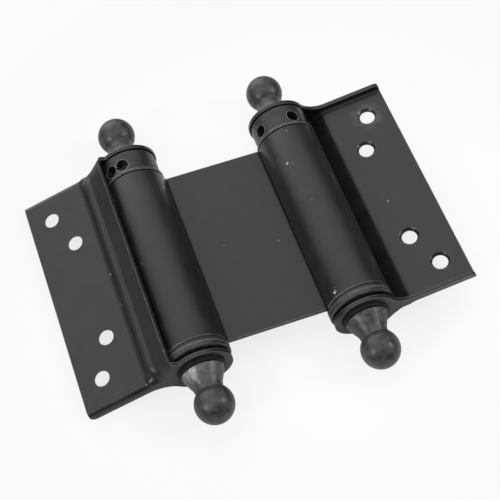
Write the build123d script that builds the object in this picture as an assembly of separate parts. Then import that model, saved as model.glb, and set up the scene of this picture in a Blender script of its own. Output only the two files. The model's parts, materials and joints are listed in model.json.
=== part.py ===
"""Double action spring hinge for a light swing door, lying on a table with both leaves laid open.

One folded centre sheet carries two barrels. Each barrel holds a torsion spring between a plug and a
tension collar, and turns on a spindle that is held in the ears of a leaf. Both halves use the same
parts, and one half is the other turned half round about the hinge's long middle line.

Millimetres. X runs across the hinge, Y along the barrels towards the collars, Z up. The origin is on
the table under the middle of the hinge. Every piece is drawn about its own barrel's axis, with its
leaf pointing along X, and is placed at the end.
"""
from build123d import *
from math import asin, atan2, cos, degrees, radians, sin, sqrt
import os

# Sheet metal
sheet = 1.5
leaf_sheet = 1.2
axis_spacing = 50.4

# Centre sheet and its two rolled barrels
barrel_radius = 9.65
root_bend_radius = 1.75
seam_gap = 0.4

# Leaf, measured out from its barrel's axis along the leaf, and square to the leaf
leaf_length = 76.2
leaf_reach = 35.1
leaf_back = 4.77
leaf_bend_reach = 15.4
leaf_bend_radius = 2.6
crest_reach = 5.9
crest_back = 10.95
crest_foot_angle = -67.5
flange_depth = 3.4
flange_corner = 1.6
ear_radius = 9.5
ear_blend = 8.5
end_bend_radius = 0.7

# How the two leaves lie on the table
left_leaf_drop = 19.0
right_leaf_lift = 9.3

# Screw holes in a leaf, a wide pair and a narrow pair
screw_hole_radius = 2.4
screw_sink_radius = 3.1
wide_pair_reach = 27.6
wide_pair_span = 57.6
narrow_pair_reach = 22.6
narrow_pair_span = 34.5

# Spindle, and the washers and ball tips on its ends
spindle_radius = 3.0
running_clearance = 0.06
held_clearance = 0.03
washer_radius = 7.2
washer_thickness = 0.8
tip_base_radius = 6.5
tip_base_edge = 0.35
tip_neck_radius = 3.75
tip_neck_blend = 0.6
tip_bore_depth = 7.4
tip_bore_play = 0.2
ball_radius = 5.9
ball_stand = 11.4

# Plug that closes the near end of a barrel, and the pin that holds it
plug_flange_radius = 9.9
plug_flange = 3.2
plug_ear_gap = 1.2
plug_sleeve = 7.0
plug_edge = 0.35
shoulder_depth = 0.5
shoulder_width = 0.4
groove_depth = 0.2
groove_width = 0.35
groove_from_barrel = 1.5
pin_radius = 1.0
pin_hole_radius = 1.35
pin_dome = 0.45
pin_grip = 3.2
pin_from_end = 1.7
pin_angle = 137.5

# Tension collar in the far end of a barrel, turned by a bar in its holes
lip_radius = 9.6
lip_thickness = 0.7
lip_gap = 0.5
collar_radius = 9.05
collar_body = 7.4
collar_ear_gap = 0.3
collar_edge = 0.3
hub_length = 6.0
hub_clearance = 0.08
bar_hole_radius = 2.0
bar_hole_depth = 3.9
bar_hole_from_lip = 2.85
bar_hole_angles = (0.0, 26.6, 117.0, 195.0)
left_collar_turn = 285.2
right_collar_turn = 311.0

# Torsion spring of square wire, with a leg at each end that stands in a slot
spring_wire = 1.9
spring_radius = 6.2
spring_full_turns = 6
spring_end_gap = 0.1
leg_depth = 2.6
leg_clearance = 0.12
near_leg_angle = 60.0
far_leg_from_first_hole = 156.0

# How far a cutter reaches past the face that it opens
cut_over = 1.0

# Sizes that follow from the ones above
half_spacing = axis_spacing / 2
barrel_inner = barrel_radius - sheet
barrel_middle = barrel_radius - sheet / 2
bend_run = sqrt(barrel_middle**2 + 2 * barrel_middle * root_bend_radius)
bend_angle = degrees(atan2(root_bend_radius, bend_run))
roll_edge_angle = degrees(asin((sheet / 2 + seam_gap) / barrel_radius))
ear_face = leaf_length / 2
ear_inner = ear_face - leaf_sheet
flange_edge = flange_depth - leaf_back
plug_end = -ear_inner + plug_ear_gap
sheet_near = -plug_end - plug_flange
plug_inner_face = plug_sleeve - sheet_near
collar_end = ear_inner - collar_ear_gap
collar_start = collar_end - collar_body
lip_start = collar_start - lip_thickness
sheet_far = lip_start - lip_gap
hub_inner_face = sheet_far - hub_length
tip_start = ear_face + washer_thickness
ball_at = ear_face + ball_stand
spindle_end = tip_start + tip_bore_depth - tip_bore_play
pin_at = pin_from_end - sheet_near
table_height = plug_flange_radius

across = Plane(origin=(0, 0, 0), x_dir=(1, 0, 0), z_dir=(0, -1, 0))


def outline(*points):
    """A flat face from its corner points."""
    return make_face(Polyline(*points, close=True))


def slab(face, start, end):
    """A face drawn across the barrel, thickened along Y from start to end."""
    return Pos(0, end, 0) * extrude(across * face, end - start)


def turned(*points):
    """A solid turned about the Y axis from corners given as radius and distance along Y."""
    return revolve(outline(*points), axis=Axis.Y, revolution_arc=360)


def rod(radius, start, end):
    """A round bar along Y."""
    return slab(Circle(radius), start, end)


def spoke(radius, inside, outside, at, angle):
    """A round bar square to Y, that points out from the axis at an angle."""
    out = Vector(cos(radians(angle)), 0, sin(radians(angle)))
    plane = Plane(origin=out * inside + Vector(0, at, 0), z_dir=out)
    return extrude(plane * Circle(radius), outside - inside)


def near_corner(face, reach, height):
    """The corner of a flat face that is nearest to a place."""
    return face.vertices().sort_by_distance((reach, height, 0))[0]


def moved_arc(centre, radius, start, sweep, shift):
    """An arc of the sheet's middle line, moved to the left of its direction by shift."""
    turn = 1 if sweep > 0 else -1
    return CenterArc(centre, radius - turn * shift, start, sweep)


def sheet_line(shift):
    """The centre sheet's middle line moved to one face: roll, bend, flat, bend and roll."""
    bend_at = half_spacing - bend_run
    roll = 360 - roll_edge_angle - bend_angle
    return [
        moved_arc((-half_spacing, 0), barrel_middle, bend_angle + roll, -roll, shift),
        moved_arc((-bend_at, root_bend_radius), root_bend_radius, 180 + bend_angle, 90 - bend_angle, shift),
        Line((-bend_at, shift), (bend_at, shift)),
        moved_arc((bend_at, -root_bend_radius), root_bend_radius, 90, bend_angle - 90, shift),
        moved_arc((half_spacing, 0), barrel_middle, 180 + bend_angle, roll, shift),
    ]


def centre_plate():
    """The centre sheet with the barrel rolled from each side, and the two holes for the plug pins."""
    top = sheet_line(sheet / 2)
    under = sheet_line(-sheet / 2)
    first_edge = Line(top[0] @ 0, under[0] @ 0)
    last_edge = Line(top[-1] @ 1, under[-1] @ 1)
    face = make_face(top + under + [first_edge, last_edge])
    plate = slab(face, -sheet_near, sheet_far)
    hole = spoke(pin_hole_radius, barrel_inner - cut_over, barrel_radius + cut_over, pin_at, pin_angle)
    plate -= Pos(half_spacing, 0, 0) * hole
    plate -= Pos(-half_spacing, 0, 0) * Rot(0, 180, 0) * hole
    return plate


def leaf_lines():
    """Corners of the leaf's back face and front face, from its outer edge in to the web's crest."""
    run = Vector(crest_reach - leaf_bend_reach, leaf_back - crest_back)
    down = run.normalized()
    inward = Vector(down.Y, -down.X) * leaf_sheet
    slope = atan2(-down.Y, -down.X)
    back = [(leaf_reach, -leaf_back), (leaf_bend_reach, -leaf_back), (crest_reach, -crest_back)]
    bend_shift = leaf_sheet * sin(slope / 2) / cos(slope / 2)
    front = [
        (leaf_reach, leaf_sheet - leaf_back),
        (leaf_bend_reach - bend_shift, leaf_sheet - leaf_back),
        (crest_reach + inward.X, inward.Y - crest_back),
    ]
    return back, front


def end_wall_face():
    """Outline of a leaf's end wall: flange along the leaf, web and round ear about the spindle."""
    back, front = leaf_lines()
    foot_x = ear_radius * cos(radians(crest_foot_angle))
    foot_z = ear_radius * sin(radians(crest_foot_angle))
    meeting = sqrt(ear_radius**2 - flange_edge**2)
    wall = outline(*back[::-1], (leaf_reach, flange_edge), (0, flange_edge), (foot_x, foot_z))
    wall = fillet(near_corner(wall, *back[1]), leaf_bend_radius)
    wall = wall + Circle(ear_radius)
    return fillet(near_corner(wall, meeting, flange_edge), ear_blend)


def tray_cutter():
    """Everything between the end walls that lies in front of the leaf's plate and web."""
    back, front = leaf_lines()
    far = 2 * leaf_reach
    bend = front[1]
    beyond = [(crest_reach, -far), (-far, -far), (-far, far), (far, far)]
    face = outline((far, front[0][1]), bend, front[2], back[2], *beyond)
    face = fillet(near_corner(face, *bend), leaf_bend_radius + leaf_sheet)
    cutter = slab(face, -ear_inner, ear_inner)
    return fillet(bent_edges(cutter, ear_inner, front), end_bend_radius)


def bent_edges(solid, end, line):
    """The edges of a solid's two ends that run along the leaf's plate, bend and web."""
    crest_x, crest_z = line[2]
    low, high = crest_z, line[0][1]
    found = []
    for edge in solid.edges():
        middle = edge @ 0.5
        on_end = abs(abs(middle.Y) - end) < 0.01
        in_run = middle.X > crest_x and low < middle.Z < high + 0.01
        if on_end and in_run and abs((edge @ 0).Y - (edge @ 1).Y) < 0.01:
            if edge_follows(edge, line):
                found.append(edge)
    return found


def edge_follows(edge, line):
    """True for the plate's straight edge, the bend's arc or the web's straight edge."""
    middle = edge @ 0.5
    outer, bend, crest = line
    on_plate = abs(middle.Z - outer[1]) < 0.01
    run = Vector(crest[0] - bend[0], crest[1] - bend[1]).normalized()
    away = (middle.X - bend[0]) * run.Y - (middle.Z - bend[1]) * run.X
    on_web = abs(away) < 0.01
    on_bend = edge.geom_type == GeomType.CIRCLE and abs(middle.X - bend[0]) < 1.5
    return on_plate or on_web or on_bend


def flange_corner_cutter():
    """What the rounding takes off the outer corner of both end walls."""
    reach = leaf_reach - flange_corner
    height = flange_edge - flange_corner
    square = Pos(reach + flange_corner, height + flange_corner) * Rectangle(
        2 * flange_corner, 2 * flange_corner
    )
    return slab(square - Pos(reach, height) * Circle(flange_corner), -leaf_length, leaf_length)


def screw_hole(reach, at):
    """A countersunk hole through the leaf, with the countersink on its front."""
    front = leaf_sheet - leaf_back
    sink = screw_sink_radius - screw_hole_radius
    hole = turned(
        (0, -leaf_back - cut_over),
        (screw_hole_radius, -leaf_back - cut_over),
        (screw_hole_radius, front - sink),
        (screw_sink_radius, front),
        (screw_sink_radius, front + cut_over),
        (0, front + cut_over),
    )
    return Pos(reach, at, 0) * Rot(90, 0, 0) * hole


def leaf():
    """A stamped leaf: plate, sloping web, and an end wall at each end that rises to a round ear."""
    back = leaf_lines()[0]
    body = slab(end_wall_face(), -ear_face, ear_face)
    body = fillet(bent_edges(body, ear_face, back), end_bend_radius + leaf_sheet)
    body -= tray_cutter()
    body -= flange_corner_cutter()
    body -= rod(spindle_radius + held_clearance, -leaf_length, leaf_length)
    for reach, span in ((wide_pair_reach, wide_pair_span), (narrow_pair_reach, narrow_pair_span)):
        for end in (-1, 1):
            body -= screw_hole(reach, end * span / 2)
    return body


def leg_slot(angle, start, end):
    """The slot that a leg of the spring stands in."""
    side = spring_wire + 2 * leg_clearance
    box = Pos(spring_radius, (start + end) / 2, 0) * Box(side, end - start, side)
    return Rot(0, -angle, 0) * box


def flange_groove(from_barrel, width, depth):
    """What a turned groove takes off the plug's flange."""
    start = -sheet_near - from_barrel
    ring = rod(plug_flange_radius + cut_over, start - width, start)
    return ring - rod(plug_flange_radius - depth, start - width, start)


def plug():
    """Plug with a sleeve in the barrel, a grooved flange outside it, and the spring's slot."""
    bore = spindle_radius + running_clearance
    sleeve = barrel_inner - held_clearance
    end = plug_end
    body = turned(
        (bore, plug_inner_face),
        (sleeve - plug_edge, plug_inner_face),
        (sleeve, plug_inner_face - plug_edge),
        (sleeve, -sheet_near),
        (plug_flange_radius - plug_edge, -sheet_near),
        (plug_flange_radius, -sheet_near - plug_edge),
        (plug_flange_radius, end + plug_edge),
        (plug_flange_radius - plug_edge, end),
        (bore, end),
    )
    body -= flange_groove(0, shoulder_width, shoulder_depth)
    body -= flange_groove(groove_from_barrel, groove_width, groove_depth)
    slot_bottom = plug_inner_face - leg_depth - leg_clearance
    body -= leg_slot(near_leg_angle, slot_bottom, plug_inner_face + cut_over)
    radius = pin_radius + held_clearance
    return body - spoke(radius, barrel_radius - pin_grip, barrel_radius + cut_over, pin_at, pin_angle)


def plug_pin():
    """Pin through the barrel's wall into the plug's sleeve, with a round end that stands proud."""
    dome_radius = (pin_radius**2 + pin_dome**2) / (2 * pin_dome)
    centre = barrel_radius + pin_dome - dome_radius
    out = Vector(cos(radians(pin_angle)), 0, sin(radians(pin_angle)))
    ball = Pos(out * centre + Vector(0, pin_at, 0)) * Sphere(dome_radius)
    dome = ball & spoke(pin_radius, barrel_radius, barrel_radius + cut_over, pin_at, pin_angle)
    return spoke(pin_radius, barrel_radius - pin_grip, barrel_radius, pin_at, pin_angle) + dome


def collar(turn):
    """Tension collar: hub in the barrel, lip over its end, and a body with holes for a bar."""
    bore = spindle_radius + running_clearance
    hub = barrel_inner - hub_clearance
    body = turned(
        (bore, hub_inner_face),
        (hub - collar_edge, hub_inner_face),
        (hub, hub_inner_face + collar_edge),
        (hub, lip_start),
        (lip_radius, lip_start),
        (lip_radius, collar_start),
        (collar_radius, collar_start),
        (collar_radius, collar_end - collar_edge),
        (collar_radius - collar_edge, collar_end),
        (bore, collar_end),
    )
    for angle in bar_hole_angles:
        at = collar_start + bar_hole_from_lip
        inside = collar_radius - bar_hole_depth
        body -= spoke(bar_hole_radius, inside, collar_radius + cut_over, at, turn + angle)
    slot_angle = turn + far_leg_from_first_hole
    slot_bottom = hub_inner_face + leg_depth + leg_clearance
    return body - leg_slot(slot_angle, hub_inner_face - cut_over, slot_bottom)


def spring(turn):
    """Torsion spring, wound so that the collar tightens it, with a leg into plug and collar."""
    far_leg_angle = turn + far_leg_from_first_hole
    part_turn = (near_leg_angle - far_leg_angle) % 360 / 360
    start = plug_inner_face + spring_end_gap + spring_wire / 2
    end = hub_inner_face - spring_end_gap - spring_wire / 2
    turns = spring_full_turns + part_turn
    path = Helix(pitch=(end - start) / turns, height=end - start, radius=spring_radius)
    section = Plane(path @ 0, x_dir=(1, 0, 0), z_dir=path % 0) * Rectangle(spring_wire, spring_wire)
    coil = sweep(section, path=path, is_frenet=True)
    coil = Rot(0, -near_leg_angle, 0) * Pos(0, start, 0) * Rot(-90, 0, 0) * coil
    near_leg = Pos(spring_radius, start - (leg_depth + spring_wire / 2) / 2, 0) * Box(
        spring_wire, leg_depth + spring_wire / 2, spring_wire
    )
    far_leg = Pos(spring_radius, end + (leg_depth + spring_wire / 2) / 2, 0) * Box(
        spring_wire, leg_depth + spring_wire / 2, spring_wire
    )
    coil += Rot(0, -near_leg_angle, 0) * near_leg
    return coil + Rot(0, -far_leg_angle, 0) * far_leg


def spindle():
    """Plain rod through both ears, with chamfered ends inside the tips."""
    edge = held_clearance + 0.4
    return turned(
        (0, -spindle_end),
        (spindle_radius - edge, -spindle_end),
        (spindle_radius, -spindle_end + edge),
        (spindle_radius, spindle_end - edge),
        (spindle_radius - edge, spindle_end),
        (0, spindle_end),
    )


def washer():
    """Thin ring between an ear and a tip, drawn at the far end."""
    hole = spindle_radius + held_clearance
    return rod(washer_radius, ear_face, tip_start) - rod(hole, ear_face, tip_start)


def ball_tip():
    """Ball on a cone, bored from below for the spindle, drawn at the far end."""
    neck_at = ball_at - sqrt(ball_radius**2 - tip_neck_radius**2)
    bore = rod(spindle_radius + held_clearance, tip_start - cut_over, tip_start + tip_bore_depth)
    cone = outline(
        (0, tip_start),
        (tip_base_radius - tip_base_edge, tip_start),
        (tip_base_radius, tip_start + tip_base_edge),
        (tip_neck_radius, neck_at),
        (0, neck_at),
    )
    right_half = Pos(ball_radius, ball_at) * Rectangle(2 * ball_radius, 4 * ball_radius)
    face = cone + (Pos(0, ball_at) * Circle(ball_radius) & right_half)
    face = fillet(near_corner(face, tip_neck_radius, neck_at), tip_neck_blend)
    return revolve(face, axis=Axis.Y, revolution_arc=360) - bore


def place(side, shape, leaf_angle=0):
    """Moves a piece to its barrel, turned half round on the left, and tilted if the leaf carries it."""
    turn = leaf_angle + (180 if side == "left" else 0)
    middle = -half_spacing if side == "left" else half_spacing
    return Pos(middle, 0, table_height) * Rot(0, turn, 0) * shape


def assembly():
    """Every piece of the hinge by name."""
    pieces = {"center_plate": Pos(0, 0, table_height) * centre_plate()}
    far_tip = ball_tip()
    far_washer = washer()
    half_round = Rot(180, 0, 0)
    angles = {"left": (-left_leaf_drop, left_collar_turn), "right": (-right_leaf_lift, right_collar_turn)}
    for side, (leaf_angle, collar_turn) in angles.items():
        pieces[side + "_leaf"] = place(side, leaf(), leaf_angle)
        pieces[side + "_plug"] = place(side, plug())
        pieces[side + "_plug_pin"] = place(side, plug_pin())
        pieces[side + "_collar"] = place(side, collar(collar_turn))
        pieces[side + "_spring"] = place(side, spring(collar_turn))
        pieces[side + "_spindle"] = place(side, spindle())
        pieces[side + "_far_tip"] = place(side, far_tip)
        pieces[side + "_near_tip"] = place(side, half_round * far_tip)
        pieces[side + "_far_washer"] = place(side, far_washer)
        pieces[side + "_near_washer"] = place(side, half_round * far_washer)
    return pieces


os.makedirs("parts", exist_ok=True)
for name, shape in assembly().items():
    export_step(shape, "parts/" + name + ".step")
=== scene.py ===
"""The finish of a double action spring hinge, and the plain studio that it lies in.

Laid out as an add-on and run as a script. Metres, in the frame of the packed model: X across the hinge,
Y along the barrels towards the collars, Z up from the table.
"""

import json
import math

import bmesh
import bpy
from mathutils import Matrix, Vector


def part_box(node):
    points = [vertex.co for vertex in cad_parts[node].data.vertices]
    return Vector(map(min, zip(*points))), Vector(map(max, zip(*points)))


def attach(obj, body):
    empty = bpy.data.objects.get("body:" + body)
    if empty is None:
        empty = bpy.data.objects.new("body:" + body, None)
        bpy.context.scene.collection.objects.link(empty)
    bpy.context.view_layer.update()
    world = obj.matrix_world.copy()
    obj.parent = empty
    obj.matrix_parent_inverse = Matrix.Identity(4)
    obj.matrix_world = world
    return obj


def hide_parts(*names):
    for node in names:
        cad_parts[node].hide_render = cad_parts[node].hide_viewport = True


bl_info = {
    "name": "Spring hinge finish",
    "version": (1, 0, 0),
    "blender": (4, 5, 0),
    "location": "3D Viewport > Sidebar > Hinge",
    "description": "Dresses a double action spring hinge in black coat and sets its studio",
    "category": "Object",
}

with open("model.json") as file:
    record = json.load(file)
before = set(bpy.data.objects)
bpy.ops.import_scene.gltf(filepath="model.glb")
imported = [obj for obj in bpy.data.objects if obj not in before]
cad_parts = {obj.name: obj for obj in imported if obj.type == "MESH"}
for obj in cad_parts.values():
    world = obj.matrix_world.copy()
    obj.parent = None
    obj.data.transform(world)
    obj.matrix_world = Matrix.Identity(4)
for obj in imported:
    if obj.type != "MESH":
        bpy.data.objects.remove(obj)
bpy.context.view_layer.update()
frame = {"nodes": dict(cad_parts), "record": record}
MM = 0.001
SIDES = ("left", "right")


def middle_of(node):
    """The middle of a node's box."""
    low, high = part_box(node)
    return (low + high) / 2


SPINDLE_AT = middle_of("right_spindle")
PLATE_LOW, PLATE_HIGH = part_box("center_plate")
TIP_LOW, TIP_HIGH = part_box("right_far_tip")
WASHER_LOW, WASHER_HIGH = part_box("right_far_washer")
SPRING_LOW, SPRING_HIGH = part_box("right_spring")
BARREL_RADIUS = PLATE_HIGH.z - SPINDLE_AT.z

# How deep the rims at the barrels' near ends go, where the sheet gets a painted highlight, and where the
# painted shade of the gap beside them lies
RIM_WIDTH = 0.4 * MM
GAP_OFFSET = 0.35 * MM

# The hole of the right leaf that has a worn halo
HALO_AT = (53.17 * MM, 28.8 * MM, 9.9 * MM)

# The rubbed place on the cone of the left near tip
SMUDGE_AT = (-29.4 * MM, -40.0 * MM, 14.5 * MM)

# Chips and specks that the photo shows at known places, and a painted glint on the right plug pin's dome,
# in millimetres: x, y, z and radius. Those of the full radius and above have their full strength.
MARKS = (
    (20.54, 15.25, 18.35, 0.36),
    (22.0, 14.62, 19.0, 0.22),
    (10.08, -5.45, 10.65, 0.25),
    (-17.57, 21.62, 15.81, 0.33),
    (24.38, 26.33, 19.51, 0.25),
    (-41.12, 1.18, 9.71, 0.3),
    (-41.16, -9.67, 9.67, 0.22),
    (-31.84, -2.65, 16.9, 0.25),
    (22.76, -0.11, 19.23, 0.2),
    (36.65, 36.56, 5.32, 0.25),
    (46.98, -3.18, 9.85, 0.28),
    # A painted glint on the dome of the right plug pin, not a chip
    (17.8, -31.2, 16.9, 0.4),
)
FULL_RADIUS = 0.4

# Colours of the coat where scuffed, chipped, dusty or haloed; of its edges, bare from rubbing and with a
# painted highlight; of a painted glint on a plug pin; and of the painted shade in the gap beside the plugs
WORN_EDGE_AND_HIGHLIGHT = (0.36, 0.36, 0.37)
SCUFF = (0.34, 0.34, 0.34)
SMUDGE = (0.62, 0.62, 0.62)
CHIP_AND_GLINT = (0.5, 0.5, 0.49)
HALO = (0.06, 0.06, 0.06)
DUST = (0.3, 0.29, 0.28)
PAINTED_GAP_SHADE = (0.004, 0.004, 0.004)
STEEL = (0.45, 0.45, 0.46)

# How the leaves lie, and their web's foot and crest: out along the leaf, and square to it
LEAF_ANGLES = {"left": 161.0, "right": -9.3}
WEB_FOOT = (15.4 * MM, -4.77 * MM)
WEB_CREST = (5.9 * MM, -10.95 * MM)

# Where cuts lie along a stretch that is to be rounded, as shares of it
ROUNDING_CUTS = (0.1, 0.2, 0.32, 0.46, 0.62, 0.8, 1.0)
BEYOND_ROUNDING = 1.4
RIDGE_STEPS = 6

# What counts as web past its crest and outside it, and how deep its outer face reaches
WEB_MARGIN = 0.1 * MM
WEB_OUTSIDE = 0.8 * MM
OUTER_FACE_DEPTH = 0.3 * MM

# The drop at a web's ends: the rise over which it starts, and the depths in the end wall where it is
# gone and where it is whole
DROP_STARTS = (0.5 * MM, 3.5 * MM)
DROP_FADES = (3.4 * MM, 0.8 * MM)

# Edges that turn by more than this many degrees stay sharp, and flat faces turn by less than this
SHARP = 32.0
SHEET_SHARP = 50.0
FLAT = 0.6

# Vertices nearer than this are one: on meshes from the packed model and on grown ones
MERGE = 0.002 * MM
FINE_MERGE = 0.0005 * MM

# Ball tips: the edge of the base and the bore
TIP_EDGE = 0.45 * MM
TIP_BORE = 3.1 * MM
TIP_BORE_DEPTH = 7.3 * MM
TIP_SEGMENTS = 96

# The drill for a plug pin's hole: its length, and how far inside the barrel's face its middle is
DRILL_DEPTH = 3.4 * MM
DRILL_INSIDE = 0.5 * MM

# The length of a spring's legs
SPRING_LEG = 3.2 * MM

# Where the two lamps shine from, and how far away they are
LAMPS = {"left_lamp": (-0.798, -0.336, 0.514), "right_lamp": (0.76, -0.234, 0.605)}
LAMP_DISTANCE = 0.9

# The directions in space of the picture's right and of its top
CAMERA_RIGHT = (0.9428, -0.3328, -0.0190)
CAMERA_UP = (0.2943, 0.8044, 0.5160)


def length(name, description, default, **limits):
    """A setting for a length."""
    return bpy.props.FloatProperty(
        name=name, description=description, default=default, unit="LENGTH", **limits
    )


def fraction(name, description, default):
    """A setting between nothing and all."""
    return bpy.props.FloatProperty(
        name=name, description=description, default=default, min=0.0, max=1.0, subtype="FACTOR"
    )


def strength(name, description, default, **kind):
    """A setting for how strong a light is."""
    return bpy.props.FloatProperty(name=name, description=description, default=default, min=0.0, **kind)


def tint(name, description, default):
    """A setting for a colour."""
    return bpy.props.FloatVectorProperty(
        name=name, description=description, default=default, size=3, min=0.0, max=1.0, subtype="COLOR"
    )


def vector(name, description, default, **kind):
    """A setting for a place or a direction."""
    return bpy.props.FloatVectorProperty(
        name=name, description=description, default=default, size=3, subtype="XYZ", **kind
    )


class HingeSizes(bpy.types.PropertyGroup):
    """Sizes of the hinge's pieces that the finish draws anew."""

    sheet: length("Sheet", "Thickness of the centre sheet", 1.5 * MM)
    root_bend: length("Root bend", "Middle radius of the bend between plate and barrel", 1.75 * MM)
    seam: length("Seam", "Gap between the barrel's free edge and the plate", 0.4 * MM)
    sheet_edge: length("Sheet edge", "Rounding of the sheet's cut edges", 0.3 * MM)
    pin_hole: length("Pin hole radius", "Radius of the hole in a barrel that its plug pin sits in", 1.35 * MM)
    leaf_sheet: length("Leaf sheet", "Thickness of the leaves' sheet", 1.2 * MM)
    leaf_edge: length("Leaf edge", "Rounding of the leaf's cut edges", 0.22 * MM)
    fold_ridge: length("Fold ridge", "Height of the soft ridge that the bending left along a web", 0.9 * MM)
    fold_ridge_start: length("Fold ridge start", "Where that ridge starts, up the web from its foot", 0.8 * MM)
    fold_ridge_at: length("Fold ridge top", "Where that ridge is highest, up the web from its foot", 3.4 * MM)
    fold_ridge_end: length("Fold ridge end", "Where that ridge ends, up the web from its foot", 6.0 * MM)
    web_end: length("Web end", "Length over which a web's outer face rounds off towards its ends", 6.0 * MM)
    web_end_drop: length("Web end drop", "How far the face has come down at the end wall", 1.5 * MM)
    turned_edge: length("Turned edge", "Rounding of edges on turned pieces", 0.14 * MM)
    ball: length("Ball", "Radius of a tip's ball", 5.9 * MM)
    neck: length("Neck", "Radius where a tip's cone meets its ball", 3.75 * MM)
    spring_wire: length("Spring wire", "Thickness of the spring's wire", 1.8 * MM)
    spring_radius: length("Spring radius", "Middle radius of the spring", 6.2 * MM)
    spring_turns: bpy.props.IntProperty(
        name="Spring turns", description="Turns of the close-wound spring", default=24, min=4, max=60
    )


class HingeCoat(bpy.types.PropertyGroup):
    """Colour and surface of the black coat."""

    colour: tint("Coat colour", "Colour of the coat on sheet and collars", (0.0125, 0.0125, 0.013))
    tip_colour: tint("Tip colour", "Colour of the rougher coat on the tips", (0.022, 0.022, 0.023))
    roughness: fraction("Roughness", "Roughness of the coat", 0.31)
    tip_roughness: fraction("Tip roughness", "Roughness of the coat on the tips", 0.38)
    specks: fraction("Specks", "How many pale specks of dust lie on the coat", 0.5)


class HingeStudio(bpy.types.PropertyGroup):
    """Floor, light and camera."""

    floor: tint("Floor colour", "Colour of the floor", (0.93, 0.93, 0.93))
    floor_edge: tint("Floor edge colour", "Colour of the floor where the light ends", (0.05, 0.05, 0.05))
    floor_middle: vector(
        "Floor middle", "Middle of the lit part of the floor", (22 * MM, -5 * MM, 0.0), unit="LENGTH"
    )
    floor_radius: length("Floor radius", "Radius of the floor", 2.5, min=0.2)
    floor_reach: length("Floor reach", "Distance from its middle at which its light ends", 0.18, min=0.1)
    dome: strength("Dome", "Strength of the soft light where it is brightest", 1.6)
    light_from: vector("Light from", "Direction that the soft light is strongest from", (-0.18, 0.35, 0.9))
    glow_from: vector("Glow from", "Direction of the low soft light behind the hinge", (-0.25, 0.94, 0.18))
    glow: strength("Glow", "Strength of the low soft light behind the hinge", 2.4)
    lamp: strength("Lamps", "Power of each of the two soft lamps in front", 2.2, unit="POWER")
    lamp_size: length("Lamp size", "Side of each lamp's square", 0.24, min=0.01)
    far_side: fraction("Far side", "Share of the light on the side away from it", 0.08)
    camera_at: vector(
        "Camera place", "Where the camera stands", (-56.19 * MM, -185.06 * MM, 322.86 * MM), unit="LENGTH"
    )
    lens: bpy.props.FloatProperty(
        name="Lens", description="Focal length on a 36 mm sensor", default=86.99, min=1.0
    )


GROUPS = (
    ("hinge_sizes", HingeSizes),
    ("hinge_coat", HingeCoat),
    ("hinge_studio", HingeStudio),
)


def put(socket, source):
    """Feeds an input from another socket, or gives it a value."""
    if isinstance(source, bpy.types.NodeSocket):
        socket.id_data.links.new(source, socket)
    else:
        socket.default_value = source


def add_node(tree, kind, *sources, **values):
    """A node with settings and inputs by name, and its first inputs in order from sockets or values."""
    node = tree.nodes.new(kind)
    for key, value in values.items():
        if hasattr(node, key):
            setattr(node, key, value)
        else:
            put(node.inputs[key.replace("_", " ")], value)
    for socket, source in zip(node.inputs, sources):
        put(socket, source)
    return node


def maths(tree, operation, *sources):
    """The result of a math node on sockets or values."""
    return add_node(tree, "ShaderNodeMath", *sources, operation=operation).outputs[0]


def vector_maths(tree, operation, first, second):
    """The number that a vector math node gives for two vectors."""
    return add_node(tree, "ShaderNodeVectorMath", first, second, operation=operation).outputs["Value"]


def along_axis(tree, place, axis):
    """One coordinate of a place."""
    return add_node(tree, "ShaderNodeSeparateXYZ", place).outputs[axis]


def noise(tree, place, scale, detail=2.0, roughness=0.5, distortion=0.0):
    """The value of a noise texture at a place."""
    return add_node(
        tree, "ShaderNodeTexNoise", Vector=place, Scale=scale, Detail=detail, Roughness=roughness,
        Distortion=distortion,
    ).outputs["Fac"]


def ramp(tree, source, low, high, to_low=0.0, to_high=1.0, smooth=False):
    """A value moved from one range to another and held within it."""
    node = add_node(tree, "ShaderNodeMapRange", source, low, high, to_low, to_high)
    if smooth:
        node.interpolation_type = "SMOOTHSTEP"
    return node.outputs["Result"]


def blend_colour(tree, mask, below, above):
    """A colour that goes from one socket or value to another by a mask."""
    node = add_node(tree, "ShaderNodeMix", data_type="RGBA", Factor=mask)
    for socket, source in ((node.inputs[6], below), (node.inputs[7], above)):
        put(socket, source if isinstance(source, bpy.types.NodeSocket) else (*source, 1.0))
    return node.outputs[2]


def shader_group(name, inputs, outputs):
    """An empty shader node group, with the sockets that it is given and those of its result.

    An input without a value is a vector, and all others and the outputs are numbers.
    """
    tree = bpy.data.node_groups.new(name, "ShaderNodeTree")
    for socket_name, value in inputs.items():
        kind = "NodeSocketVector" if value is None else "NodeSocketFloat"
        socket = tree.interface.new_socket(socket_name, in_out="INPUT", socket_type=kind)
        if value is not None:
            socket.default_value = value
    for socket_name in outputs:
        tree.interface.new_socket(socket_name, in_out="OUTPUT", socket_type="NodeSocketFloat")
    return tree, tree.nodes.new("NodeGroupInput").outputs, tree.nodes.new("NodeGroupOutput").inputs


def powder_grain_group():
    """Fine lumpy grain of a powder coat: a height for bump and a slow mottling."""
    tree, given, result = shader_group(
        "powder_grain", {"Vector": None, "Grain Scale": 2600.0, "Mottle Scale": 160.0}, ("Height", "Mottle")
    )
    put(result["Height"], noise(tree, given["Vector"], given["Grain Scale"], 3.0, 0.55))
    slow = noise(tree, given["Vector"], given["Mottle Scale"], 4.0, 0.6)
    put(result["Mottle"], ramp(tree, slow, 0.35, 0.68))
    return tree


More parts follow.
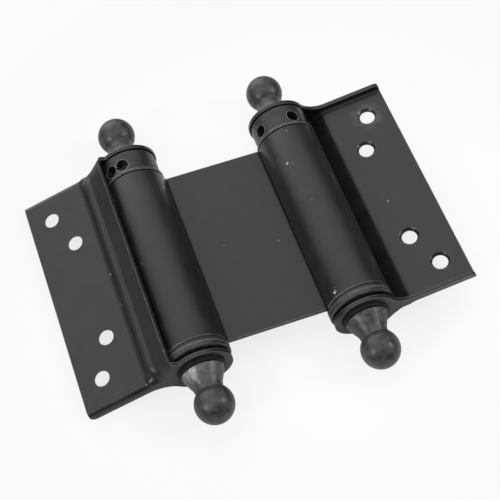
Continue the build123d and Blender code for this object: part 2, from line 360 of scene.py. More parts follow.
def dust_specks_group():
    """A mask of small scattered specks, with most of the cells left empty."""
    tree, given, result = shader_group(
        "dust_specks", {"Vector": None, "Scale": 260.0, "Size": 0.07, "Amount": 0.5}, ("Mask",)
    )
    cells = add_node(
        tree, "ShaderNodeTexVoronoi", Vector=given["Vector"], Scale=given["Scale"], Randomness=1.0
    )
    near = maths(tree, "LESS_THAN", cells.outputs["Distance"], given["Size"])
    lot = add_node(tree, "ShaderNodeSeparateColor", cells.outputs["Color"]).outputs["Red"]
    most_filled = 0.12
    chosen = maths(tree, "LESS_THAN", lot, maths(tree, "MULTIPLY", given["Amount"], most_filled))
    put(result["Mask"], maths(tree, "MULTIPLY", near, chosen))
    return tree


def marks_group():
    """A mask of chips at MARKS and a painted pin glint, with ragged rims, the small ones fainter."""
    tree, given, result = shader_group("marks", {"Vector": None, "Ragged": 0.3 * MM}, ("Mask",))
    uneven = maths(tree, "MULTIPLY", noise(tree, given["Vector"], 2400.0), given["Ragged"])
    found = 0.0
    for x, y, z, radius in MARKS:
        away = vector_maths(tree, "DISTANCE", given["Vector"], (x * MM, y * MM, z * MM))
        wide = maths(tree, "ADD", away, uneven)
        full = min(1.0, (radius / FULL_RADIUS) ** 2.5)
        mark = ramp(tree, wide, (radius + 0.25) * MM, (radius + 0.1) * MM, 0.0, full)
        found = maths(tree, "MAXIMUM", mark, found)
    put(result["Mask"], found)
    return tree


def worn_ring_group():
    """A patchy mask about one place, such as the pale halo that a screw head left."""
    tree, given, result = shader_group(
        "worn_ring",
        {"Vector": None, "Middle": None, "Inner": 3.4 * MM, "Outer": 6.6 * MM, "Scale": 420.0},
        ("Mask",),
    )
    away = vector_maths(tree, "DISTANCE", given["Vector"], given["Middle"])
    fade = ramp(tree, away, given["Outer"], given["Inner"], smooth=True)
    broken = ramp(tree, noise(tree, given["Vector"], given["Scale"], 4.0, 0.6), 0.36, 0.66)
    put(result["Mask"], maths(tree, "MULTIPLY", fade, broken))
    return tree


def edge_wear_group():
    """A mask of edges, bare from rubbing and also carrying a painted highlight: where a rounded normal leaves
    the true one, broken up by noise.

    Near Share is how much of it stays on the near half of the hinge.
    """
    tree, given, result = shader_group(
        "edge_wear",
        {"Vector": None, "Width": 0.5 * MM, "Break Scale": 900.0, "Near Share": 1.0},
        ("Mask",),
    )
    rounded = add_node(tree, "ShaderNodeBevel", samples=4, Radius=given["Width"])
    true_side = tree.nodes.new("ShaderNodeNewGeometry")
    alike = vector_maths(tree, "DOT_PRODUCT", rounded.outputs["Normal"], true_side.outputs["Normal"])
    turned = ramp(tree, alike, 0.995, 0.9)
    broken = ramp(tree, noise(tree, given["Vector"], given["Break Scale"], 4.0), 0.3, 0.55, 0.4, 1.0)
    kept = ramp(tree, along_axis(tree, given["Vector"], "Y"), 0.0, -20 * MM, 1.0, given["Near Share"])
    put(result["Mask"], maths(tree, "MULTIPLY", maths(tree, "MULTIPLY", turned, broken), kept))
    return tree


def cone_scuffs_group():
    """A mask of smudgy scuffs on the tips' cones, heaviest on the near left one."""
    tree, given, result = shader_group(
        "cone_scuffs", {"Vector": None, "Inner": 38.5 * MM, "Outer": 46.5 * MM, "Scale": 330.0}, ("Mask",)
    )
    along = along_axis(tree, given["Vector"], "Y")
    fade = ramp(tree, maths(tree, "ABSOLUTE", along), given["Outer"], given["Inner"], smooth=True)
    smudge = noise(tree, given["Vector"], given["Scale"], 5.0, 0.65, 0.6)
    near = ramp(tree, along, 0.0, -30 * MM)
    left = ramp(tree, along_axis(tree, given["Vector"], "X"), 0.0, -24 * MM, -0.06, 0.14)
    patch = ramp(tree, maths(tree, "MULTIPLY_ADD", near, left, smudge), 0.44, 0.82)
    put(result["Mask"], maths(tree, "MULTIPLY", patch, fade))
    return tree


def place_effect(tree, builder, place, **values):
    """The outputs of a shared effect, whose group is built the first time that it is asked for."""
    group = bpy.data.node_groups.get(builder.__name__.removesuffix("_group")) or builder()
    return add_node(tree, "ShaderNodeGroup", node_tree=group, Vector=place, **values).outputs


def new_material(name):
    """A material with its tree, its shader and the place on the object."""
    material = bpy.data.materials.new(name)
    material.use_nodes = True
    tree = material.node_tree
    where = tree.nodes.new("ShaderNodeTexCoord").outputs["Object"]
    return material, tree, tree.nodes["Principled BSDF"], where


def worn_tone(tree, where, tone, scuffs, marked):
    """The coat's colour: scuffs on a tip's, and where it is marked chips, the halo and a painted pin glint."""
    if scuffs:
        scuffed = maths(tree, "MULTIPLY", place_effect(tree, cone_scuffs_group, where)["Mask"], scuffs)
        tone = blend_colour(tree, scuffed, tone, SCUFF)
        smudge = place_effect(
            tree, worn_ring_group, where, Middle=SMUDGE_AT, Inner=0.8 * MM, Outer=3.6 * MM, Scale=700.0
        )
        tone = blend_colour(tree, smudge["Mask"], tone, SMUDGE)
    if marked:
        # Chips, and the painted glint on the right plug pin's dome
        tone = blend_colour(tree, place_effect(tree, marks_group, where)["Mask"], tone, CHIP_AND_GLINT)
        halo = place_effect(tree, worn_ring_group, where, Middle=HALO_AT)
        tone = blend_colour(tree, halo["Mask"], tone, HALO)
    return tone


def coat_material(
    name, black, roughness, *, grain, grain_depth, mottle, specks, wear, mottle_scale=170.0,
    edge_wear_highlight_width=0.3 * MM, near_edge_wear_highlight=1.0, rim_painted_highlight=0.0, gap_shade=0.0, scuffs=0.0, marked=False
):
    """Black powder coat with lumpy grain, a slow change of tone, scuffs and dust, and edges bare from rubbing
    that also carry a painted highlight.

    The rim is the ring at the barrels' near ends: on the sheet its edge gets a painted highlight, and with a
    gap_shade it is painted as shade, darker and duller, in the gap beside the plug's flange.
    """
    material, tree, shader, where = new_material(name)
    shader.inputs["IOR"].default_value = 1.5
    grains = place_effect(tree, powder_grain_group, where, Grain_Scale=grain, Mottle_Scale=mottle_scale)
    lighter = tuple(min(1.0, value * (1.0 + mottle)) for value in black)
    tone = blend_colour(tree, grains["Mottle"], black, lighter)
    rim_at = PLATE_LOW.y - (GAP_OFFSET if gap_shade else 0.0)
    rim = maths(tree, "COMPARE", along_axis(tree, where, "Y"), rim_at, RIM_WIDTH)
    # Edge colour for bare coat from rubbing and a painted highlight, raised at the sheet's near rims
    rubbed_and_highlit = place_effect(tree, edge_wear_group, where, Width=edge_wear_highlight_width, Near_Share=near_edge_wear_highlight)
    worn_and_highlit = maths(tree, "MULTIPLY", rubbed_and_highlit["Mask"], ramp(tree, rim, 0.0, 1.0, wear, rim_painted_highlight))
    tone = worn_tone(tree, where, blend_colour(tree, worn_and_highlit, tone, WORN_EDGE_AND_HIGHLIGHT), scuffs, marked)
    dust = place_effect(tree, dust_specks_group, where, Scale=330.0, Size=0.045, Amount=specks)
    tone = blend_colour(tree, dust["Mask"], tone, DUST)
    gloss = ramp(tree, grains["Mottle"], 0.0, 1.0, roughness - 0.04, roughness + 0.05)
    # Painted shade in the gap beside the plug's flange: near black and rougher
    if gap_shade:
        tone = blend_colour(tree, rim, tone, PAINTED_GAP_SHADE)
        gloss = maths(tree, "MULTIPLY_ADD", rim, gap_shade, gloss)
    bump = add_node(tree, "ShaderNodeBump", Strength=0.35, Distance=grain_depth, Height=grains["Height"])
    put(shader.inputs["Base Color"], tone)
    put(shader.inputs["Roughness"], gloss)
    put(shader.inputs["Normal"], bump.outputs["Normal"])
    return material


def steel_material(name, bright, roughness):
    """Drawn steel with fine streaks along Y."""
    material, tree, shader, where = new_material(name)
    shader.inputs["Metallic"].default_value = 1.0
    stretch = add_node(tree, "ShaderNodeMapping", Vector=where, Scale=(1.0, 0.05, 1.0))
    streaks = noise(tree, stretch.outputs["Vector"], 3000.0, 3.0)
    tone = blend_colour(tree, streaks, tuple(value * 0.8 for value in bright), bright)
    put(shader.inputs["Base Color"], tone)
    put(shader.inputs["Roughness"], ramp(tree, streaks, 0.3, 0.7, roughness - 0.08, roughness + 0.1))
    return material


def material_for(slot):
    """The material of a slot of the record, made the first time it is asked for."""
    name = "finish_" + slot
    found = bpy.data.materials.get(name)
    if found:
        return found
    if slot == "bare_steel":
        return steel_material(name, STEEL, 0.32)
    coat = bpy.context.scene.hinge_coat
    black, specks = tuple(coat.colour), coat.specks
    if slot == "coated_sheet":
        # The sheet's near rims get a painted highlight
        return coat_material(
            name, black, coat.roughness, grain=2300.0, grain_depth=0.05 * MM, mottle=0.35, specks=specks,
            wear=0.45, rim_painted_highlight=4.0, marked=True,
        )
    if slot == "coated_collar":
        # Painted shade in the gap beside the plugs' flanges, and chips with the painted glint on a plug pin
        return coat_material(
            name, black, coat.roughness + 0.02, grain=2100.0, grain_depth=0.06 * MM, mottle=1.3,
            specks=specks, wear=0.9, mottle_scale=330.0, edge_wear_highlight_width=0.42 * MM, near_edge_wear_highlight=0.65,
            gap_shade=0.45, marked=True,
        )
    if slot == "coated_tip":
        return coat_material(
            name, tuple(coat.tip_colour), coat.tip_roughness, grain=700.0, grain_depth=0.3 * MM, mottle=2.0,
            specks=0.8, wear=0.5, mottle_scale=520.0, scuffs=0.5,
        )
    darker = tuple(value * 0.4 for value in black)
    return coat_material(
        name, darker, 0.6, grain=2000.0, grain_depth=0.05 * MM, mottle=0.3, specks=0.0, wear=0.0
    )


def dress_nodes():
    """Every carried-over node gets its slot's material."""
    slots = {row["node"]: row["material_slot"] for row in frame["record"]["subparts"]}
    for name, node in frame["nodes"].items():
        material = material_for(slots[name])
        if not node.data.materials:
            node.data.materials.append(material)
        for index in range(len(node.material_slots)):
            node.material_slots[index].material = material


def finish_piece(mesh, name, body, slot, nodes):
    """Links a plain mesh as a piece that rides on a body and stands for its nodes."""
    piece = bpy.data.objects.new(name, mesh)
    bpy.context.scene.collection.objects.link(piece)
    mesh.materials.clear()
    mesh.materials.append(material_for(slot))
    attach(piece, body)
    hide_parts(*nodes)
    return piece


def sharpen(bm, degrees):
    """Smooth faces everywhere, with sharp edges past an angle."""
    for face in bm.faces:
        face.smooth = True
    for edge in bm.edges:
        edge.smooth = edge.calc_face_angle(math.pi) < math.radians(degrees)


def rounded_copy(node, edge, shaper=None):
    """A node's mesh with its triangles merged, its flat faces joined, its edges rounded and then shaped."""
    bm = bmesh.new()
    bm.from_mesh(frame["nodes"][node].data)
    bmesh.ops.remove_doubles(bm, verts=bm.verts, dist=MERGE)
    bmesh.ops.dissolve_limit(
        bm, angle_limit=math.radians(FLAT), verts=bm.verts, edges=bm.edges, use_dissolve_boundaries=False
    )
    hard = [e for e in bm.edges if e.calc_face_angle(0.0) > math.radians(SHARP)]
    bmesh.ops.bevel(
        bm, geom=hard, offset=edge, offset_type="OFFSET", segments=2, profile=0.5, affect="EDGES",
        clamp_overlap=True, loop_slide=True,
    )
    if shaper:
        shaper(bm)
    bmesh.ops.triangulate(bm, faces=[f for f in bm.faces if len(f.verts) > 4])
    bm.normal_update()
    sharpen(bm, SHARP)
    mesh = bpy.data.meshes.new(node + "_rounded")
    bm.to_mesh(mesh)
    bm.free()
    return evened(mesh)


def evened(mesh):
    """The mesh with normals led by its large faces, so that flat faces look flat beside rounded edges."""
    holder = bpy.data.objects.new("evening", mesh)
    bpy.context.scene.collection.objects.link(holder)
    modifier = holder.modifiers.new("normals", "WEIGHTED_NORMAL")
    modifier.keep_sharp = True
    modifier.weight = 90
    depsgraph = bpy.context.evaluated_depsgraph_get()
    even = bpy.data.meshes.new_from_object(holder.evaluated_get(depsgraph))
    holder.modifiers.clear()
    bpy.data.objects.remove(holder)
    return even


def leaf_place(side, out, height, along):
    """A place on a leaf, given out along it, square to it and along the barrel."""
    angle = math.radians(LEAF_ANGLES[side])
    centre_x = middle_of(side + "_spindle").x
    x = centre_x + out * math.cos(angle) + height * math.sin(angle)
    z = SPINDLE_AT.z - out * math.sin(angle) + height * math.cos(angle)
    return Vector((x, along, z))


def eased(value, low, high):
    """Smooth step from 0 at low to 1 at high."""
    share = min(1.0, max(0.0, (value - low) / (high - low)))
    return share * share * (3 - 2 * share)


def web_axes(side):
    """A function that tells how far up a leaf's web and outside it a point lies, and the web's axes."""
    foot, crest = Vector(WEB_FOOT), Vector(WEB_CREST)
    height = (crest - foot).length
    rise = (crest - foot) / height
    origin = leaf_place(side, foot.x, foot.y, 0.0)
    up = (leaf_place(side, crest.x, crest.y, 0.0) - origin) / height
    away = leaf_place(side, foot.x - rise.y, foot.y + rise.x, 0.0) - origin
    return lambda point: ((point - origin).dot(up), (point - origin).dot(away)), origin, up, away, height


def cut_across(bm, planes):
    """Adds edges to the whole mesh along each plane, given as a place and a normal."""
    for place, normal in planes:
        bmesh.ops.bisect_plane(
            bm, geom=bm.verts[:] + bm.edges[:] + bm.faces[:], dist=MERGE, plane_co=place, plane_no=normal
        )


def shape_web(bm, side, sizes):
    """Rounds a web's crest and ends and draws the soft ridge along its foot, by moving its faces.

    Every vertex is judged by how far it has risen up the web, how far outside the outer face it lies, and
    how far it is from the nearer end.
    """
    on_web, origin, up, away, height = web_axes(side)
    reach = max(abs(vert.co.y) for vert in bm.verts if abs(on_web(vert.co)[0] - height / 2) < height / 2)
    sheet, half, end = sizes.leaf_sheet, sizes.leaf_sheet / 2, sizes.web_end
    low, top, high = sizes.fold_ridge_start, sizes.fold_ridge_at, sizes.fold_ridge_end
    cuts = [low + (top - low) * step / RIDGE_STEPS for step in range(RIDGE_STEPS + 1)]
    cuts += [top + (high - top) * step / RIDGE_STEPS for step in range(1, RIDGE_STEPS + 1)]
    cuts += [height - half * cut for cut in reversed(ROUNDING_CUTS)]
    cut_across(bm, [(origin + up * cut, up) for cut in cuts])
    for sign in (1, -1):
        places = [sign * (reach - cut * end) for cut in ROUNDING_CUTS + (BEYOND_ROUNDING,)]
        cut_across(bm, [(Vector((0.0, place, 0.0)), Vector((0.0, 1.0, 0.0))) for place in places])
    for vert in bm.verts:
        risen, outside = on_web(vert.co)
        from_end = reach - abs(vert.co.y)
        if not low < risen < height + WEB_MARGIN or outside > WEB_OUTSIDE:
            continue
        move = 0.0
        on_outer_face = outside > -OUTER_FACE_DEPTH
        if on_outer_face:
            ridge = eased(risen, low, top) * eased(risen, high, top)
            move += ridge * sizes.fold_ridge * eased(from_end, 0.12 * end, 0.8 * end)
        if on_outer_face or from_end < 0.95 * sheet:
            left = max(0.0, end - from_end) / end
            drop = sizes.web_end_drop * left * left * eased(risen, *DROP_STARTS)
            less_at_crest = 1.0 - 0.7 * eased(risen, 0.6 * height, height)
            move -= drop * less_at_crest * eased(-outside, *DROP_FADES)
        along, across = risen - (height - half), outside + half
        if along > 0.0 and abs(across) < 1.05 * half and from_end > 1.1 * sheet:
            rounder = max(along, abs(across)) / max(1e-9, math.hypot(along, across)) - 1.0
            rounder *= eased(from_end, 1.1 * sheet, 1.6 * sheet)
            vert.co += up * (along * rounder) + away * (across * rounder)
        vert.co += away * move


def lathe(points, centre_x, segments, towards=1.0):
    """A closed solid turned about a barrel's axis from (radius, distance along Y) points."""
    bm = bmesh.new()
    rings = []
    for radius, along in points:
        if radius < 1e-7:
            rings.append([bm.verts.new((centre_x, towards * along, SPINDLE_AT.z))])
            continue
        ring = []
        for step in range(segments):
            angle = 2 * math.pi * step / segments
            ring.append(bm.verts.new((
                centre_x + radius * math.cos(angle), towards * along, SPINDLE_AT.z + radius * math.sin(angle)
            )))
        rings.append(ring)
    pairs = list(zip(rings, rings[1:]))
    if len(rings[0]) > 1:
        pairs.append((rings[-1], rings[0]))
    for first, second in pairs:
        for step in range(segments):
            after = (step + 1) % segments
            corners = [first[step % len(first)], first[after % len(first)],
                       second[after % len(second)], second[step % len(second)]]
            unique = list(dict.fromkeys(corners))
            if len(unique) > 2:
                bm.faces.new(unique)
    bmesh.ops.recalc_face_normals(bm, faces=bm.faces)
    sharpen(bm, SHARP)
    mesh = bpy.data.meshes.new("turned")
    bm.to_mesh(mesh)
    bm.free()
    return mesh


def arc_points(centre, radius, start, end, steps):
    """Points of an arc, in degrees, ends included."""
    points = []
    for step in range(steps + 1):
        angle = math.radians(start + (end - start) * step / steps)
        points.append((centre[0] + radius * math.cos(angle), centre[1] + radius * math.sin(angle)))
    return points


def tip_outline(sizes):
    """Half outline of a ball tip, from its base round the cone and ball to the pole and back inside."""
    base = TIP_LOW.y
    base_radius = (TIP_HIGH.x - TIP_LOW.x) / 2
    ball_at = TIP_HIGH.y - sizes.ball
    neck_at = ball_at - math.sqrt(sizes.ball**2 - sizes.neck**2)
    start_angle = math.degrees(math.atan2(neck_at - ball_at, sizes.neck))
    points = [(TIP_BORE, base), (base_radius - TIP_EDGE, base)]
    points += arc_points((base_radius - TIP_EDGE, base + TIP_EDGE), TIP_EDGE, -90, -12, 5)[1:]
    narrowing = base_radius - sizes.neck
    slope = (neck_at - base - TIP_EDGE) / narrowing
    for step in range(1, 7):
        part = step / 8
        points.append((base_radius - narrowing * part, base + TIP_EDGE + narrowing * part * slope))
    points += arc_points((0, ball_at), sizes.ball, start_angle + 5, 90, 40)[:-1]
    bore_end = base + TIP_BORE_DEPTH
    points += [(0, ball_at + sizes.ball), (0, bore_end), (TIP_BORE, bore_end)]
    return points


def sheet_middle_line(sizes):
    """The centre sheet's middle line across the hinge: roll, bend, flat, bend and roll."""
    half = SPINDLE_AT.x
    radius = BARREL_RADIUS - sizes.sheet / 2
    bend = sizes.root_bend
    run = math.sqrt(radius**2 + 2 * radius * bend)
    tilt = math.degrees(math.atan2(bend, run))
    edge = math.degrees(math.asin((sizes.sheet / 2 + sizes.seam) / BARREL_RADIUS))
    roll = 360 - edge - tilt
    points = arc_points((-half, 0), radius, tilt + roll, tilt, 120)
    points += arc_points((run - half, bend), bend, 180 + tilt, 270, 12)[1:]
    points += arc_points((half - run, -bend), bend, 90, tilt, 12)
    points += arc_points((half, 0), radius, 180 + tilt, 180 + tilt + roll, 120)[1:]
    return points


def geometry_tree(name, **inputs):
    """An empty geometry nodes tree with named inputs, and the sockets that it is given."""
    tree = bpy.data.node_groups.new(name, "GeometryNodeTree")
    for socket_name, kind in {"Geometry": "Geometry", **inputs}.items():
        socket_name = socket_name.replace("_", " ")
        tree.interface.new_socket(socket_name, in_out="INPUT", socket_type="NodeSocket" + kind)
    tree.interface.new_socket("Geometry", in_out="OUTPUT", socket_type="NodeSocketGeometry")
    return tree, tree.nodes.new("NodeGroupInput").outputs


def painted(tree, shape, material):
    """Ends a geometry nodes tree: real geometry with its material goes to the output."""
    real = add_node(tree, "GeometryNodeRealizeInstances", shape)
    paint = add_node(tree, "GeometryNodeSetMaterial", real.outputs["Geometry"], Material=material)
    put(tree.nodes.new("NodeGroupOutput").inputs["Geometry"], paint.outputs["Geometry"])
    return tree


def swept_sheet_tree(material):
    """Geometry nodes that sweep a rounded strip of sheet along the object's own curve."""
    tree, given = geometry_tree("swept_sheet", Thickness="Float", Length="Float", Edge_Radius="Float")
    strip = add_node(
        tree, "GeometryNodeCurvePrimitiveQuadrilateral", mode="RECTANGLE", Width=given["Length"],
        Height=given["Thickness"],
    )
    rounded = add_node(
        tree, "GeometryNodeFilletCurve", strip.outputs["Curve"], mode="POLY", Count=4,
        Radius=given["Edge Radius"],
    )
    sweep = add_node(
        tree, "GeometryNodeCurveToMesh", given["Geometry"], rounded.outputs["Curve"], Fill_Caps=True
    )
    return painted(tree, sweep.outputs["Mesh"], material)


def spring_tree(material):
    """Geometry nodes for a close-wound spring about the Z axis, with a straight leg at each end."""
    tree, given = geometry_tree(
        "wound_spring", Radius="Float", Wire="Float", Length="Float", Leg="Float", Turns="Int"
    )
    coil = add_node(
        tree, "GeometryNodeCurveSpiral", Resolution=32, Rotations=given["Turns"],
        Start_Radius=given["Radius"], End_Radius=given["Radius"], Height=given["Length"],
    )
    half_wire = maths(tree, "MULTIPLY", given["Wire"], 0.5)
    section = add_node(
        tree, "GeometryNodeCurvePrimitiveCircle", mode="RADIUS", Resolution=10, Radius=half_wire
    )
    wire = add_node(
        tree, "GeometryNodeCurveToMesh", coil.outputs["Curve"], section.outputs["Curve"], Fill_Caps=True
    )
    parts = add_node(tree, "GeometryNodeJoinGeometry", wire.outputs["Mesh"])
    for coil_end, outward in ((0.0, -0.5), (given["Length"], 0.5)):
        leg = add_node(
            tree, "GeometryNodeMeshCylinder", Vertices=10, Radius=half_wire, Depth=given["Leg"]
        )
        middle = maths(tree, "MULTIPLY_ADD", given["Leg"], outward, coil_end)
        place = add_node(tree, "ShaderNodeCombineXYZ", X=given["Radius"], Z=middle)
        moved = add_node(
            tree, "GeometryNodeTransform", leg.outputs["Mesh"], Translation=place.outputs["Vector"]
        )
        put(parts.inputs[0], moved.outputs["Geometry"])
    return painted(tree, parts.outputs["Geometry"], material)


def grown_mesh(start_data, tree, inputs):
    """The plain mesh that a geometry nodes tree makes of some starting data."""
    holder = bpy.data.objects.new("growing", start_data)
    bpy.context.scene.collection.objects.link(holder)
    modifier = holder.modifiers.new("tree", "NODES")
    modifier.node_group = tree
    for item in tree.interface.items_tree:
        if item.item_type == "SOCKET" and item.in_out == "INPUT" and item.name in inputs:
            modifier[item.identifier] = inputs[item.name]
    depsgraph = bpy.context.evaluated_depsgraph_get()
    mesh = bpy.data.meshes.new_from_object(holder.evaluated_get(depsgraph))
    holder.modifiers.clear()
    bpy.data.objects.remove(holder)
    return mesh


def punched(mesh, side, radius):
    """The sheet's mesh with the round hole in a barrel's wall that its plug pin sits in."""
    axis, pin = middle_of(side + "_spindle"), middle_of(side + "_plug_pin")
    outward = Vector((pin.x - axis.x, 0.0, pin.z - axis.z)).normalized()
    middle = Vector((axis.x, pin.y, axis.z)) + outward * (BARREL_RADIUS - DRILL_INSIDE)
    turn = outward.to_track_quat("Z", "Y").to_matrix().to_4x4()
    drill = bpy.data.meshes.new("drill")
    bm = bmesh.new()
    bmesh.ops.create_cone(
        bm, cap_ends=True, segments=40, radius1=radius, radius2=radius, depth=DRILL_DEPTH,
        matrix=Matrix.Translation(middle) @ turn,
    )
    bm.to_mesh(drill)
    bm.free()
    holder = bpy.data.objects.new("punching", mesh)
    tool = bpy.data.objects.new("drill", drill)
    for item in (holder, tool):
        bpy.context.scene.collection.objects.link(item)
    modifier = holder.modifiers.new("hole", "BOOLEAN")
    modifier.operation = "DIFFERENCE"
    modifier.solver = "EXACT"
    modifier.object = tool
    depsgraph = bpy.context.evaluated_depsgraph_get()
    holed = bpy.data.meshes.new_from_object(holder.evaluated_get(depsgraph))
    holder.modifiers.clear()
    for item in (holder, tool):
        bpy.data.objects.remove(item)
    return holed


def clean_mesh(mesh, matrix=None, sharp_degrees=SHARP):
    """Merges doubles, turns faces outwards, smooths and puts the mesh in its place."""
    bm = bmesh.new()
    bm.from_mesh(mesh)
    if matrix is not None:
        bm.transform(matrix)
    bmesh.ops.remove_doubles(bm, verts=bm.verts, dist=FINE_MERGE)
    bmesh.ops.recalc_face_normals(bm, faces=bm.faces)
    sharpen(bm, sharp_degrees)
    bm.to_mesh(mesh)
    bm.free()
    return mesh


class HINGE_OT_nodes(bpy.types.Operator):
    """Give every solid of the hinge its finish"""

    bl_idname = "hinge.nodes"
    bl_label = "Finish the solids"

    def execute(self, context):
        dress_nodes()
        return {"FINISHED"}


class HINGE_OT_centre_sheet(bpy.types.Operator):
    """Sweep the centre sheet with its two rolled barrels"""

    bl_idname = "hinge.centre_sheet"
    bl_label = "Centre sheet"

    def execute(self, context):
        sizes = context.scene.hinge_sizes
        line = sheet_middle_line(sizes)
        curve = bpy.data.curves.new("sheet_path", "CURVE")
        curve.dimensions = "3D"
        spline = curve.splines.new("POLY")
        spline.points.add(len(line) - 1)
        along = (PLATE_LOW.y + PLATE_HIGH.y) / 2
        for point, (x, z) in zip(spline.points, line):
            point.co = (x, along, z + SPINDLE_AT.z, 1.0)
        tree = swept_sheet_tree(material_for("coated_sheet"))
        inputs = {
            "Thickness": sizes.sheet,
            "Length": PLATE_HIGH.y - PLATE_LOW.y,
            "Edge Radius": sizes.sheet_edge,
        }
        mesh = clean_mesh(grown_mesh(curve, tree, inputs), sharp_degrees=SHEET_SHARP)
        for side in SIDES:
            mesh = punched(mesh, side, sizes.pin_hole)
        mesh = clean_mesh(mesh, sharp_degrees=SHEET_SHARP)
        finish_piece(mesh, "rolled_centre_sheet", "center", "coated_sheet", ["center_plate"])
        return {"FINISHED"}


class HINGE_OT_leaves(bpy.types.Operator):
    """Round the edges of both leaves and shape their webs"""

    bl_idname = "hinge.leaves"
    bl_label = "Leaves"

    def execute(self, context):
        sizes = context.scene.hinge_sizes
        for side in SIDES:
            mesh = rounded_copy(
                side + "_leaf", sizes.leaf_edge, shaper=lambda bm: shape_web(bm, side, sizes)
            )
            finish_piece(mesh, side + "_stamped_leaf", side + "_leaf", "coated_sheet", [side + "_leaf"])
        return {"FINISHED"}


class HINGE_OT_plugs(bpy.types.Operator):
    """Round the edges of the plugs"""

    bl_idname = "hinge.plugs"
    bl_label = "Plugs"

    def execute(self, context):
        sizes = context.scene.hinge_sizes
        for side in SIDES:
            mesh = rounded_copy(side + "_plug", sizes.turned_edge)
            finish_piece(mesh, side + "_grooved_plug", "center", "coated_collar", [side + "_plug"])
        return {"FINISHED"}


class HINGE_OT_collars(bpy.types.Operator):
    """Round the edges of the tension collars and of their bar holes"""

    bl_idname = "hinge.collars"
    bl_label = "Tension collars"

    def execute(self, context):
        sizes = context.scene.hinge_sizes
        for side in SIDES:
            mesh = rounded_copy(side + "_collar", sizes.turned_edge)
            finish_piece(mesh, side + "_tension_collar", side + "_collar", "coated_collar", [side + "_collar"])
        return {"FINISHED"}


class HINGE_OT_tips(bpy.types.Operator):
    """Turn the ball tips"""

    bl_idname = "hinge.tips"
    bl_label = "Ball tips"

    def execute(self, context):
        outline = tip_outline(context.scene.hinge_sizes)
        for side in SIDES:
            centre_x = middle_of(side + "_spindle").x
            for end, towards in (("near", -1.0), ("far", 1.0)):
                mesh = lathe(outline, centre_x, TIP_SEGMENTS, towards)
                node = side + "_" + end + "_tip"
                finish_piece(mesh, side + "_" + end + "_ball", side + "_leaf", "coated_tip", [node])
        return {"FINISHED"}


class HINGE_OT_springs(bpy.types.Operator):
    """Wind the springs inside the barrels"""

    bl_idname = "hinge.springs"
    bl_label = "Springs"

    def execute(self, context):
        sizes = context.scene.hinge_sizes
        tree = spring_tree(material_for("bare_steel"))
        start_y = SPRING_LOW.y + SPRING_LEG
        inputs = {
            "Radius": sizes.spring_radius,
            "Wire": sizes.spring_wire,
            "Length": SPRING_HIGH.y - SPRING_LOW.y - 2 * SPRING_LEG,
            "Leg": SPRING_LEG,
            "Turns": sizes.spring_turns,
        }
        along_y = Matrix.Rotation(math.radians(-90), 4, "X")
        for side in SIDES:
            start = bpy.data.meshes.new("start")
            place = Matrix.Translation((middle_of(side + "_spindle").x, start_y, SPINDLE_AT.z)) @ along_y
            mesh = clean_mesh(grown_mesh(start, tree, inputs), place)
            finish_piece(mesh, side + "_wound_spring", "center", "bare_steel", [side + "_spring"])
        return {"FINISHED"}


def floor_material(studio):
    """Floor painted pale near the hinge and dark further out as a painted pool of light, that keeps the shadow
    and fades to white for the camera.
    """
    material, tree, shader, where = new_material("studio_floor")
    shader.inputs["Roughness"].default_value = 0.9
    shader.inputs["Specular IOR Level"].default_value = 0.1
    reach = studio.floor_reach
    away = vector_maths(tree, "DISTANCE", where, studio.floor_middle)
    # Painted pool of light: the floor's colour darkens from its middle out to the edge colour
    fade = ramp(tree, away, 0.3 * reach, reach)
    put(shader.inputs["Base Color"], blend_colour(tree, fade, studio.floor, studio.floor_edge))
    path = tree.nodes.new("ShaderNodeLightPath")
    whiter = ramp(tree, away, 0.4 * reach, 0.9 * reach, 0.8, 1.0)
    seen = maths(tree, "MULTIPLY", path.outputs["Is Camera Ray"], whiter)
    white = add_node(tree, "ShaderNodeEmission", Strength=1.0)
    mix = add_node(tree, "ShaderNodeMixShader", seen, shader.outputs[0], white.outputs[0])
    put(tree.nodes["Material Output"].inputs["Surface"], mix.outputs[0])
    return material


def light_from(tree, where, direction, start, low, high):
    """Light that rises from low, at a start given as the cosine to its direction, to high."""
    toward = vector_maths(tree, "DOT_PRODUCT", where, Vector(direction).normalized())
    return ramp(tree, toward, start, 1.0, low, high, smooth=True)


def set_world(studio):
    """Soft light from all round, stronger overhead, with a white background behind the floor."""
    world = bpy.data.worlds.new("studio")
    bpy.context.scene.world = world
    world.use_nodes = True
    tree = world.node_tree
    tree.nodes.clear()
    where = tree.nodes.new("ShaderNodeTexCoord").outputs["Generated"]
    overhead = light_from(tree, where, studio.light_from, 0.28, studio.far_side, 1.0)
    behind = light_from(tree, where, studio.glow_from, 0.82, 0.0, studio.glow)
    level = maths(tree, "MULTIPLY_ADD", overhead, studio.dome, behind)
    soft = add_node(tree, "ShaderNodeBackground", Strength=level)
    white = add_node(tree, "ShaderNodeBackground", Strength=1.0)
    path = tree.nodes.new("ShaderNodeLightPath").outputs
    seen = maths(tree, "MAXIMUM", path["Is Camera Ray"], path["Is Transmission Ray"])
    mix = add_node(tree, "ShaderNodeMixShader", seen, soft.outputs[0], white.outputs[0])
    add_node(tree, "ShaderNodeOutputWorld", Surface=mix.outputs[0])


def add_lamp(name, direction, size, power):
    """A square area lamp that faces the hinge from a direction."""
    data = bpy.data.lights.new(name, "AREA")
    data.shape = "SQUARE"
    data.size = size
    data.energy = power
    lamp = bpy.data.objects.new(name, data)
    lamp.location = Vector(direction).normalized() * LAMP_DISTANCE
    lamp.rotation_mode = "QUATERNION"
    lamp.rotation_quaternion = (-Vector(lamp.location)).to_track_quat("-Z", "Y")
    bpy.context.scene.collection.objects.link(lamp)


def add_floor(studio):
    """The round floor under the hinge."""
    mesh = bpy.data.meshes.new("floor")
    bm = bmesh.new()
    bmesh.ops.create_circle(bm, cap_ends=True, segments=96, radius=studio.floor_radius)
    bm.to_mesh(mesh)
    bm.free()
    mesh.materials.append(floor_material(studio))
    floor = bpy.data.objects.new("floor", mesh)
    bpy.context.scene.collection.objects.link(floor)


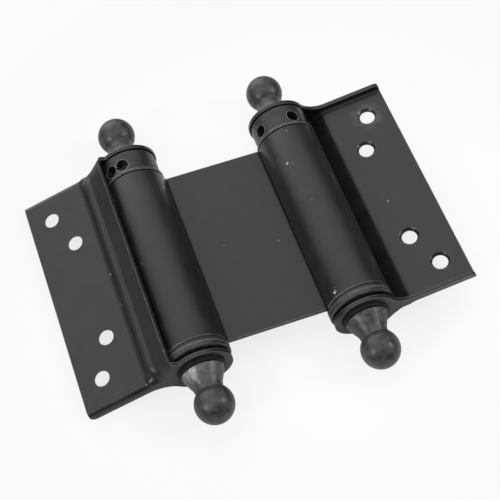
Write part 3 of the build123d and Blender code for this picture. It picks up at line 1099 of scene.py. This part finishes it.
def add_camera(studio):
    """The camera, where the picture was taken."""
    scene = bpy.context.scene
    data = bpy.data.cameras.new("camera")
    data.lens = studio.lens
    data.sensor_width = 36.0
    data.clip_start = 0.01
    data.dof.use_dof = False
    camera = bpy.data.objects.new("camera", data)
    scene.collection.objects.link(camera)
    right = Vector(CAMERA_RIGHT)
    back = right.cross(Vector(CAMERA_UP)).normalized()
    up = back.cross(right).normalized()
    camera.rotation_mode = "QUATERNION"
    camera.rotation_quaternion = Matrix((right, up, back)).transposed().to_quaternion()
    camera.location = studio.camera_at
    scene.camera = camera
    scene.view_settings.view_transform = "Standard"


class HINGE_OT_stage(bpy.types.Operator):
    """Lay the floor, set the light and stand the camera where the picture was taken"""

    bl_idname = "hinge.stage"
    bl_label = "Studio"

    def execute(self, context):
        studio = context.scene.hinge_studio
        add_floor(studio)
        set_world(studio)
        for name, direction in LAMPS.items():
            add_lamp(name, direction, studio.lamp_size, studio.lamp)
        add_camera(studio)
        return {"FINISHED"}


class HINGE_PT_panel(bpy.types.Panel):
    """Settings and steps of the hinge's finish"""

    bl_idname = "HINGE_PT_panel"
    bl_label = "Spring hinge"
    bl_space_type = "VIEW_3D"
    bl_region_type = "UI"
    bl_category = "Hinge"

    def draw(self, context):
        layout = self.layout
        for group, kind in GROUPS:
            box = layout.box()
            box.label(text=kind.__doc__)
            for name in kind.__annotations__:
                box.prop(getattr(context.scene, group), name)
        for operator in OPERATORS:
            layout.operator(operator.bl_idname)


OPERATORS = (
    HINGE_OT_nodes,
    HINGE_OT_centre_sheet,
    HINGE_OT_leaves,
    HINGE_OT_plugs,
    HINGE_OT_collars,
    HINGE_OT_tips,
    HINGE_OT_springs,
    HINGE_OT_stage,
)


def register():
    """Registers the settings, the steps and the panel."""
    for name, kind in GROUPS:
        bpy.utils.register_class(kind)
        setattr(bpy.types.Scene, name, bpy.props.PointerProperty(type=kind))
    for kind in OPERATORS + (HINGE_PT_panel,):
        bpy.utils.register_class(kind)


def unregister():
    """Takes away what register adds."""
    for kind in (HINGE_PT_panel,) + OPERATORS[::-1]:
        bpy.utils.unregister_class(kind)
    for name, kind in GROUPS[::-1]:
        delattr(bpy.types.Scene, name)
        bpy.utils.unregister_class(kind)


def main():
    """Dresses the hinge and sets the studio."""
    register()
    for operator in OPERATORS:
        group, name = operator.bl_idname.split(".")
        getattr(getattr(bpy.ops, group), name)()


if __name__ == "__main__":
    main()
